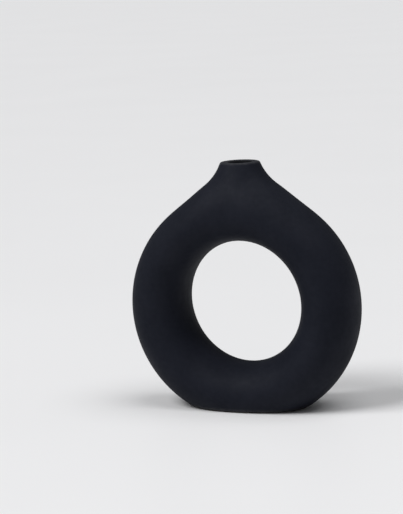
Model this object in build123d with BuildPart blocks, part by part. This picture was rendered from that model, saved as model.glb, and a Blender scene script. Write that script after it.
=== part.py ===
"""Donut vase: a hollow ceramic ring on a flat foot, with a flared neck and a round mouth.

The ring is two moulded halves with a turned neck on top, joined with slip where they meet and lined
with glaze inside. It faces -Y and stands on four soft pads, with the origin on the surface under its middle.
"""
import os
from math import cos, radians, sin, sqrt, tan

from build123d import *

# Driving dimensions, in millimetres and degrees
BODY_RADIUS = 100.0  # half the ring's width
BODY_DEPTH = 67.0  # front to back, over the ring's crest
BODY_HEIGHT = 207.0  # flat foot to rim
CENTRE_HEIGHT = 85.0  # the ring's widest place above the flat foot
FOOT_CUT = 15.0  # how much of the ring's outline the flat foot takes off
CROWN_RISE = 15.0  # how far the outline swells up towards the neck
CROWN_SPAN = 45.0  # where that swelling starts, either side of upright
HOLE_RADIUS = 52.0
HOLE_RISE = 3.6  # the hole's centre above the middle of the ring's outline
NECK_RISE = 7.0  # the rim above the swollen outline
RIM_RADIUS = 16.4  # outside of the neck at the rim
NECK_FLARE = 24.0  # lean of the neck's side from upright
NECK_BLEND = 44.0  # round of the shoulder between neck and ring
NECK_ROOT = 22.0  # the neck starts this far inside the swollen outline
NECK_SPARE = 15.0  # the neck is blended this much too long, then cut back to its rim
COLLAR_HEIGHT = 12.0  # the neck piece, from its seam to the rim
WALL = 5.0  # moulded clay
FLOOR = 6.0  # clay over the flat foot
LIP_WALL = 6.9  # clay round the mouth
LIP_ROUND = 2.0
THROAT_BLEND = 10.0  # round inside, where the throat opens into the ring
FOOT_ROUND = 1.5
SLIP_THICKNESS = 0.8  # fired slip between the clay pieces
LINING_THICKNESS = 0.4  # glaze inside
LINING_CLEARANCE = 0.05
LINING_DROP = 20.0  # top of the glaze below the rim
PAD_DIAMETER = 10.0
PAD_THICKNESS = 1.0
PAD_SPACING_X = 60.0
PAD_SPACING_Y = 32.0

# Sections of the ring, from below its foot round the right side to past its neck, in degrees above +X
FIRST_SECTION = -110
LAST_SECTION = 160
SECTION_STEP = 10

# Derived sizes and places
MOUTH_RADIUS = RIM_RADIUS - LIP_WALL
FOOT_Z = PAD_THICKNESS
CENTRE_Z = FOOT_Z + CENTRE_HEIGHT
RIM_Z = FOOT_Z + BODY_HEIGHT
COLLAR_Z = RIM_Z - COLLAR_HEIGHT
NECK_FOOT_Z = RIM_Z - NECK_RISE - NECK_ROOT
UPPER_REACH = RIM_Z - NECK_RISE - CROWN_RISE - CENTRE_Z
LOWER_REACH = CENTRE_HEIGHT + FOOT_CUT
HOLE_OFFSET = HOLE_RISE + (UPPER_REACH - LOWER_REACH) / 2
RING_UNDER_NECK = UPPER_REACH + CROWN_RISE - HOLE_OFFSET - HOLE_RADIUS


def round_radius(angle):
    """The ring's round outline from its centre, at an angle above +X."""
    reach = UPPER_REACH if sin(radians(angle)) > 0 else LOWER_REACH
    return 1 / sqrt((cos(radians(angle)) / BODY_RADIUS) ** 2 + (sin(radians(angle)) / reach) ** 2)


def outline_radius(angle):
    """The ring's outline from its centre, swelling towards the neck."""
    from_upright = abs(90 - angle)
    if from_upright >= CROWN_SPAN:
        return round_radius(angle)
    return round_radius(angle) + CROWN_RISE * cos(radians(90 * from_upright / CROWN_SPAN)) ** 4


def hole_edge(angle):
    """The distance from the ring's centre to the edge of the hole."""
    rise = HOLE_OFFSET * sin(radians(angle))
    run = HOLE_OFFSET * cos(radians(angle))
    return rise + sqrt(HOLE_RADIUS**2 - run**2)


def radial_plane(angle):
    """The plane through the ring's centre that holds the section at one angle, with X pointing outwards."""
    outwards = (cos(radians(angle)), 0, sin(radians(angle)))
    return Plane((0, 0, CENTRE_Z), x_dir=outwards, z_dir=(sin(radians(angle)), 0, -cos(radians(angle))))


def vase_half(inset, rim_radius, flare, blend, bottom):
    """The right half of the ring and neck, drawn in by the inset and cut flat below and at the rim.

    The sections run past the middle at both ends, so that the neck blends into one smooth surface
    and the half, cut off at the middle, meets its mirror image smoothly.
    """
    half_depth = BODY_DEPTH / 2 - inset
    slope = tan(radians(flare))
    with BuildPart() as half:
        for angle in range(FIRST_SECTION, LAST_SECTION + 1, SECTION_STEP):
            crest = (hole_edge(angle) + round_radius(angle)) / 2
            outer_reach = outline_radius(angle) - inset - crest
            inner_reach = crest - hole_edge(angle) - inset
            with BuildSketch(radial_plane(angle)):
                with BuildLine():
                    EllipticalCenterArc((crest, 0), outer_reach, half_depth, -90, arc_size=180)
                    EllipticalCenterArc((crest, 0), inner_reach, half_depth, 90, arc_size=180)
                make_face()
        loft()
        # Drawn seen from behind, so that the neck's seam line falls in the half that is cut away
        with BuildSketch(Plane.back):
            with BuildLine():
                Polyline(
                    (0, NECK_FOOT_Z),
                    (rim_radius + slope * (RIM_Z - NECK_FOOT_Z), NECK_FOOT_Z),
                    (rim_radius - slope * NECK_SPARE, RIM_Z + NECK_SPARE),
                    (0, RIM_Z + NECK_SPARE),
                    close=True,
                )
            make_face()
        revolve(axis=Axis.Z)
        neck_side = half.faces().filter_by(lambda face: face.geom_type in (GeomType.CONE, GeomType.CYLINDER))
        fillet(neck_side.edges().filter_by(GeomType.BSPLINE), blend)
        split(bisect_by=Plane.YZ, keep=Keep.TOP)
        split(bisect_by=Plane.XY.offset(bottom), keep=Keep.TOP)
        split(bisect_by=Plane.XY.offset(RIM_Z), keep=Keep.BOTTOM)
    return half.part


# The right half of the whole clay wall, before it is parted into its pieces
neck_blend = min(NECK_BLEND, RING_UNDER_NECK)  # no larger than the ring is thick there
outside = vase_half(0, RIM_RADIUS, NECK_FLARE, neck_blend, FOOT_Z)
inside = vase_half(WALL, MOUTH_RADIUS, 0, THROAT_BLEND, FOOT_Z + FLOOR)
with BuildPart() as clay:
    add(outside)
    fillet(clay.faces().sort_by(Axis.Z)[0].edges().filter_by(GeomType.LINE, reverse=True), FOOT_ROUND)
    add(inside, mode=Mode.SUBTRACT)

# Both faces of the slip under the neck, and of the slip between the ring's halves
over_slip = Plane.XY.offset(COLLAR_Z + SLIP_THICKNESS / 2)
under_slip = Plane.XY.offset(COLLAR_Z - SLIP_THICKNESS / 2)
front_of_slip = Plane.XZ.offset(SLIP_THICKNESS / 2)
back_of_slip = Plane.XZ.offset(-SLIP_THICKNESS / 2)

# The neck, and the slip that it stands on
with BuildPart() as neck_collar:
    add(clay.part)
    split(bisect_by=over_slip, keep=Keep.TOP)
    fillet(neck_collar.faces().sort_by(Axis.Z)[-1].edges().filter_by(GeomType.LINE, reverse=True), LIP_ROUND)
    mirror(about=Plane.YZ)

with BuildPart() as neck_slip_seam:
    add(clay.part)
    split(bisect_by=over_slip, keep=Keep.BOTTOM)
    split(bisect_by=under_slip, keep=Keep.TOP)
    mirror(about=Plane.YZ)

# The ring's front and rear halves
with BuildPart() as ring:
    add(clay.part)
    split(bisect_by=under_slip, keep=Keep.BOTTOM)

with BuildPart() as front_shell:
    add(ring.part)
    split(bisect_by=front_of_slip, keep=Keep.TOP)
    mirror(about=Plane.YZ)

with BuildPart() as rear_shell:
    add(ring.part)
    split(bisect_by=back_of_slip, keep=Keep.BOTTOM)
    mirror(about=Plane.YZ)

# Slip between the halves: a band round the outline, open under the neck, and a ring round the hole
with BuildPart() as slip:
    add(ring.part)
    split(bisect_by=front_of_slip, keep=Keep.BOTTOM)
    split(bisect_by=back_of_slip, keep=Keep.TOP)
inner_slip, outer_slip = slip.solids().sort_by(SortBy.VOLUME)

with BuildPart() as outer_slip_seam:
    add(outer_slip)
    mirror(about=Plane.YZ)

with BuildPart() as inner_slip_seam:
    add(inner_slip)
    mirror(about=Plane.YZ)

# Glaze inside, from the floor up to just below the throat
lining_inset = WALL + LINING_CLEARANCE
lining_floor = FOOT_Z + FLOOR + LINING_CLEARANCE
lining_radius = MOUTH_RADIUS - LINING_CLEARANCE
lining_blend = THROAT_BLEND + LINING_CLEARANCE
lining_back = vase_half(lining_inset, lining_radius, 0, lining_blend, lining_floor)
lining_face = vase_half(
    lining_inset + LINING_THICKNESS,
    lining_radius - LINING_THICKNESS,
    0,
    lining_blend + LINING_THICKNESS,
    lining_floor + LINING_THICKNESS,
)
with BuildPart() as glaze_lining:
    add(lining_back)
    add(lining_face, mode=Mode.SUBTRACT)
    split(bisect_by=Plane.XY.offset(RIM_Z - LINING_DROP), keep=Keep.BOTTOM)
    mirror(about=Plane.YZ)

pieces = {
    "front_shell": front_shell,
    "rear_shell": rear_shell,
    "neck_collar": neck_collar,
    "neck_slip_seam": neck_slip_seam,
    "outer_slip_seam": outer_slip_seam,
    "inner_slip_seam": inner_slip_seam,
    "glaze_lining": glaze_lining,
}

# Soft pads under the foot, two to each half
for row, side_y in (("front", -1), ("rear", 1)):
    for side, side_x in (("left", -1), ("right", 1)):
        with BuildPart() as pad:
            with BuildSketch(Plane((side_x * PAD_SPACING_X / 2, side_y * PAD_SPACING_Y / 2, 0))):
                Circle(PAD_DIAMETER / 2)
            extrude(amount=PAD_THICKNESS)
        pieces[f"foot_pad_{row}_{side}"] = pad

os.makedirs("parts", exist_ok=True)
for name, piece in pieces.items():
    piece.part.label = name
    export_step(piece.part, f"parts/{name}.step")
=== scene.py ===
"""Looks for the donut vase: matte black glaze, a glossy lining, soft pads, a pale floor and soft light."""

from math import cos, radians, sin

import bpy
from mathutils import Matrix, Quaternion, Vector

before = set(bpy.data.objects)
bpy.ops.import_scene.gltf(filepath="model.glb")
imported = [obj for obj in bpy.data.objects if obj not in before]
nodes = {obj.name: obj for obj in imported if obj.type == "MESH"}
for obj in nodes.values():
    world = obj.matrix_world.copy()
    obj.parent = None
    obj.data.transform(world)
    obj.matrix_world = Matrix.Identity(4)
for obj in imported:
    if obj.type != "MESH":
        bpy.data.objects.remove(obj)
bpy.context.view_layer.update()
scene = bpy.context.scene
scene.view_settings.view_transform = "Standard"

# The camera, in degrees, metres and pixels of the photograph's frame
IMAGE_WIDTH = 403
IMAGE_HEIGHT = 514
AZIMUTH = 20.652  # to the right of the vase's front
ELEVATION = 9.884
ROLL = 2.292
DISTANCE = 1.6364
FOCAL_PIXELS = 1944.0
SENSOR = 36.0  # millimetres
AIM_HEIGHT = 0.104  # the point aimed at, on the vase's axis
AIM_PIXEL = (244.79, 284.31)  # where that point lies in the frame
CLIP_NEAR = 0.05
CLIP_FAR = 50.0

# Light: where it comes from, how many degrees its source spans, and its strength
KEY_SOURCE = (-0.8, -0.9, 1.5)
KEY_SPAN = 29.0
KEY_STRENGTH = 2.1
FILL_SOURCE = (0.5, -0.1, 1.6)
FILL_SPAN = 45.0
FILL_STRENGTH = 1.25
WORLD_COLOUR = (0.98, 0.99, 1.0, 1)
WORLD_STRENGTH = 0.19

# Colours
GLAZE_DARK = (0.0056, 0.0069, 0.0123, 1)
GLAZE_LIGHT = (0.0094, 0.0108, 0.0177, 1)
# Lighter worn glaze, at the lip also a painted highlight on its edge
GLAZE_WORN_AND_HIGHLIGHT = (0.040, 0.041, 0.045, 1)
# Painted shade inside the throat
GLAZE_THROAT_SHADE = (0.0018, 0.0022, 0.0036, 1)
BARE_CLAY = (0.085, 0.078, 0.072, 1)
BARE_CLAY_LIGHT = (0.12, 0.11, 0.10, 1)
LINING_DARK = (0.008, 0.009, 0.012, 1)
LINING_LIGHT = (0.018, 0.019, 0.023, 1)
PAD_DARK = (0.018, 0.018, 0.019, 1)
PAD_LIGHT = (0.042, 0.042, 0.044, 1)
FLOOR_DARK = (0.84, 0.84, 0.85, 1)
FLOOR_LIGHT = (0.87, 0.87, 0.88, 1)

# Sizes of the patterns' features, in metres
CLOUD_SIZE = 0.035
MOTTLE_SIZE = 0.004
GRAIN_SIZE = 0.0007
RIPPLE_SIZE = 0.012
PEBBLE_SIZE = 0.0006
FLOOR_CLOUD_SIZE = 0.4

# Bumps: depth in metres, and strength
CLOUD_BUMP = (0.0006, 0.25)
MOTTLE_BUMP = (0.00012, 0.35)
GRAIN_BUMP = (0.00005, 0.5)
RIPPLE_BUMP = (0.0004, 0.3)
PEBBLE_BUMP = (0.0001, 0.6)

# Roughness, from the low to the high end of the pattern that varies it
GLAZE_ROUGHNESS = (0.74, 0.6)
LINING_ROUGHNESS = (0.18, 0.32)
PAD_ROUGHNESS = (0.75, 0.95)
FLOOR_ROUGHNESS = 0.45
GLAZE_SPECULAR = 0.11

# How the patterns are used
PATTERN_RANGE = (0.3, 0.7)  # where most values of a pattern lie
TONE_RANGE = (0.32, 0.68)
CLOUD_SHARE = 0.65  # of the glaze's tone, the rest is mottle
MOTTLE_SHARE = 0.35
WEAR_AND_HIGHLIGHT_RANGE = (0.25, 0.8)  # how far the glaze is worn, and at the lip lightened as a painted highlight, by the mottle
BARE_RAGGED = 0.0004  # how far the mottle moves the edge of the bare clay, in metres

# Places that the glaze changes at, in metres
THROAT_EDGE = 0.0108  # radius of the mouth's rounded edge
THROAT_WALL = 0.0098  # inside this radius the glaze is painted dark as shade
THROAT_FOOT = 0.185  # from this height up
LIP_TOP = 0.2080
LIP_WEAR_AND_HIGHLIGHT = 0.2062  # the glaze is worn, and lightened as a painted highlight on the lip's edge, from here up
FOOT_WEAR = 0.0045  # and from here down
BARE_FROM = 0.0017
BARE_TO = 0.0011  # under this the foot is bare clay

FLOOR_HALF = 30.0  # half the floor's side, in metres


def add_camera():
    """The camera at the photograph's place, turned so that the aim point falls on its pixel."""
    data = bpy.data.cameras.new("camera")
    data.sensor_width = SENSOR
    data.lens = FOCAL_PIXELS / max(IMAGE_WIDTH, IMAGE_HEIGHT) * SENSOR
    data.clip_start = CLIP_NEAR
    data.clip_end = CLIP_FAR
    camera = bpy.data.objects.new("camera", data)
    scene.collection.objects.link(camera)
    azimuth, elevation = radians(AZIMUTH), radians(ELEVATION)
    back = Vector((sin(azimuth) * cos(elevation), -cos(azimuth) * cos(elevation), sin(elevation)))
    to_aim = Vector((
        (AIM_PIXEL[0] - IMAGE_WIDTH / 2) / FOCAL_PIXELS,
        (IMAGE_HEIGHT / 2 - AIM_PIXEL[1]) / FOCAL_PIXELS,
        -1,
    ))
    turn = to_aim.rotation_difference(Vector((0, 0, -1)))
    level = back.to_track_quat("Z", "Y")
    camera.rotation_mode = "QUATERNION"
    camera.rotation_quaternion = level @ Quaternion((0, 0, 1), -radians(ROLL)) @ turn
    camera.location = Vector((0, 0, AIM_HEIGHT)) + DISTANCE * back
    scene.camera = camera


class Nodes:
    """A new material, with a short way to add shader nodes and link them."""

    def __init__(self, name):
        self.material = bpy.data.materials.new(name)
        self.material.use_nodes = True
        self.tree = self.material.node_tree
        self.shader = self.tree.nodes["Principled BSDF"]
        self.places = self.add("ShaderNodeTexCoord").outputs["Object"]

    def put(self, socket, value):
        """Links a socket to an output, or sets it to a constant."""
        if isinstance(value, bpy.types.NodeSocket):
            self.tree.links.new(value, socket)
        else:
            socket.default_value = value

    def to_shader(self, key, value):
        self.put(self.shader.inputs[key], value)

    def add(self, kind, inputs=None, **settings):
        """Adds a node with its settings and inputs."""
        node = self.tree.nodes.new(kind)
        for key, value in settings.items():
            setattr(node, key, value)
        for key, value in (inputs or {}).items():
            self.put(node.inputs[key], value)
        return node

    def noise(self, size, detail=3.0):
        """Noise whose features are about this many metres across."""
        inputs = {"Vector": self.places, "Scale": 1 / size, "Detail": detail}
        return self.add("ShaderNodeTexNoise", inputs).outputs["Fac"]

    def spread(self, value, low, high, to_low=0.0, to_high=1.0, smooth=False):
        """Maps low..high to a new range and clips what lies outside."""
        inputs = {"Value": value, "From Min": low, "From Max": high, "To Min": to_low, "To Max": to_high}
        kind = "SMOOTHSTEP" if smooth else "LINEAR"
        return self.add("ShaderNodeMapRange", inputs, interpolation_type=kind).outputs["Result"]

    def math(self, operation, first, second):
        return self.add("ShaderNodeMath", {0: first, 1: second}, operation=operation).outputs[0]

    def mix(self, factor, first, second):
        """Blends two colours, through the node's sockets for colour."""
        inputs = {0: factor, 6: first, 7: second}
        return self.add("ShaderNodeMix", inputs, data_type="RGBA").outputs[2]

    def bump(self, pattern, distance, strength, below=None):
        """Raises the surface by a pattern, on top of another bump if one is given."""
        inputs = {"Height": pattern, "Distance": distance, "Strength": strength}
        if below is not None:
            inputs["Normal"] = below
        return self.add("ShaderNodeBump", inputs).outputs["Normal"]

    def height(self):
        """The height above the floor."""
        return self.add("ShaderNodeSeparateXYZ", {0: self.places}).outputs["Z"]

    def from_axis(self):
        """The distance from the vase's upright axis."""
        level = self.add("ShaderNodeVectorMath", {0: self.places, 1: (1, 1, 0)}, operation="MULTIPLY")
        length = self.add("ShaderNodeVectorMath", {0: level.outputs["Vector"]}, operation="LENGTH")
        return length.outputs["Value"]


def matte_glaze():
    """Matte black glaze: cloudy, with a dry grain, worn edges, a painted highlight at the lip, painted
    shade in the throat and a bare foot.
    """
    n = Nodes("matte_glaze")
    clouds = n.noise(CLOUD_SIZE, detail=4.0)
    mottle = n.noise(MOTTLE_SIZE)
    grain = n.noise(GRAIN_SIZE, detail=2.0)
    height = n.height()
    tone = n.math("ADD", n.math("MULTIPLY", clouds, CLOUD_SHARE), n.math("MULTIPLY", mottle, MOTTLE_SHARE))
    colour = n.mix(n.spread(tone, *TONE_RANGE), GLAZE_DARK, GLAZE_LIGHT)

    # Worn at the lip and round the foot; at the lip the lighter band is also a painted highlight
    lip_wear_and_highlight = n.spread(height, LIP_WEAR_AND_HIGHLIGHT, LIP_TOP, smooth=True)
    foot = n.spread(height, FOOT_WEAR, BARE_FROM, smooth=True)
    patchiness = n.spread(mottle, *PATTERN_RANGE, *WEAR_AND_HIGHLIGHT_RANGE)
    worn_and_highlit = n.math("MULTIPLY", n.math("MAXIMUM", lip_wear_and_highlight, foot), patchiness)
    colour = n.mix(worn_and_highlit, colour, GLAZE_WORN_AND_HIGHLIGHT)

    # Painted shade: dark in the throat
    inside = n.spread(n.from_axis(), THROAT_EDGE, THROAT_WALL, smooth=True)
    throat_shade = n.math("MULTIPLY", inside, n.math("GREATER_THAN", height, THROAT_FOOT))
    colour = n.mix(throat_shade, colour, GLAZE_THROAT_SHADE)

    # Bare clay under the foot
    ragged = n.math("ADD", height, n.math("MULTIPLY", mottle, BARE_RAGGED))
    bare = n.spread(ragged, BARE_FROM, BARE_TO, smooth=True)
    clay = n.mix(n.spread(grain, *PATTERN_RANGE), BARE_CLAY, BARE_CLAY_LIGHT)
    n.to_shader("Base Color", n.mix(bare, colour, clay))

    n.to_shader("Roughness", n.spread(tone, *PATTERN_RANGE, *GLAZE_ROUGHNESS))
    n.to_shader("Specular IOR Level", GLAZE_SPECULAR)
    normal = n.bump(clouds, *CLOUD_BUMP)
    normal = n.bump(mottle, *MOTTLE_BUMP, below=normal)
    n.to_shader("Normal", n.bump(grain, *GRAIN_BUMP, below=normal))
    return n.material


def lining_glaze():
    """Glossy black glaze inside, with a slow ripple and small pools."""
    n = Nodes("lining_glaze")
    ripple = n.noise(RIPPLE_SIZE, detail=2.0)
    n.to_shader("Base Color", n.mix(ripple, LINING_DARK, LINING_LIGHT))
    n.to_shader("Roughness", n.spread(ripple, *PATTERN_RANGE, *LINING_ROUGHNESS))
    n.to_shader("Normal", n.bump(ripple, *RIPPLE_BUMP))
    return n.material


def pad_rubber():
    """Soft black pads with a fine pebbled face."""
    n = Nodes("pad")
    pebbles = n.noise(PEBBLE_SIZE, detail=2.0)
    n.to_shader("Base Color", n.mix(pebbles, PAD_DARK, PAD_LIGHT))
    n.to_shader("Roughness", n.spread(pebbles, *PATTERN_RANGE, *PAD_ROUGHNESS))
    n.to_shader("Normal", n.bump(pebbles, *PEBBLE_BUMP))
    return n.material


def dress(material, names):
    """Gives CAD nodes their material."""
    for name in names:
        mesh = nodes[name].data
        mesh.materials.clear()
        mesh.materials.append(material)


def add_floor():
    """A plain pale floor, wide enough to fill the view behind the vase."""
    corners = [(-1, -1, 0), (1, -1, 0), (1, 1, 0), (-1, 1, 0)]
    mesh = bpy.data.meshes.new("floor")
    mesh.from_pydata([FLOOR_HALF * Vector(corner) for corner in corners], [], [(0, 1, 2, 3)])
    floor = bpy.data.objects.new("floor", mesh)
    scene.collection.objects.link(floor)
    n = Nodes("floor")
    n.to_shader("Base Color", n.mix(n.noise(FLOOR_CLOUD_SIZE), FLOOR_DARK, FLOOR_LIGHT))
    n.to_shader("Roughness", FLOOR_ROUGHNESS)
    mesh.materials.append(n.material)


def add_light(name, source, span, strength):
    """An even, soft light from the direction of its source."""
    data = bpy.data.lights.new(name, "SUN")
    data.energy = strength
    data.angle = radians(span)
    light = bpy.data.objects.new(name, data)
    light.rotation_mode = "QUATERNION"
    light.rotation_quaternion = Vector(source).to_track_quat("Z", "Y")
    scene.collection.objects.link(light)


def add_world():
    """Even light from all round."""
    world = bpy.data.worlds.new("world")
    world.use_nodes = True
    background = world.node_tree.nodes["Background"]
    background.inputs["Color"].default_value = WORLD_COLOUR
    background.inputs["Strength"].default_value = WORLD_STRENGTH
    scene.world = world


add_camera()
lining = ["glaze_lining"]
pads = [name for name in nodes if name.startswith("foot_pad")]
dress(matte_glaze(), [name for name in nodes if name not in lining + pads])
dress(lining_glaze(), lining)
dress(pad_rubber(), pads)
add_floor()
add_world()
add_light("key", KEY_SOURCE, KEY_SPAN, KEY_STRENGTH)
add_light("fill", FILL_SOURCE, FILL_SPAN, FILL_STRENGTH)
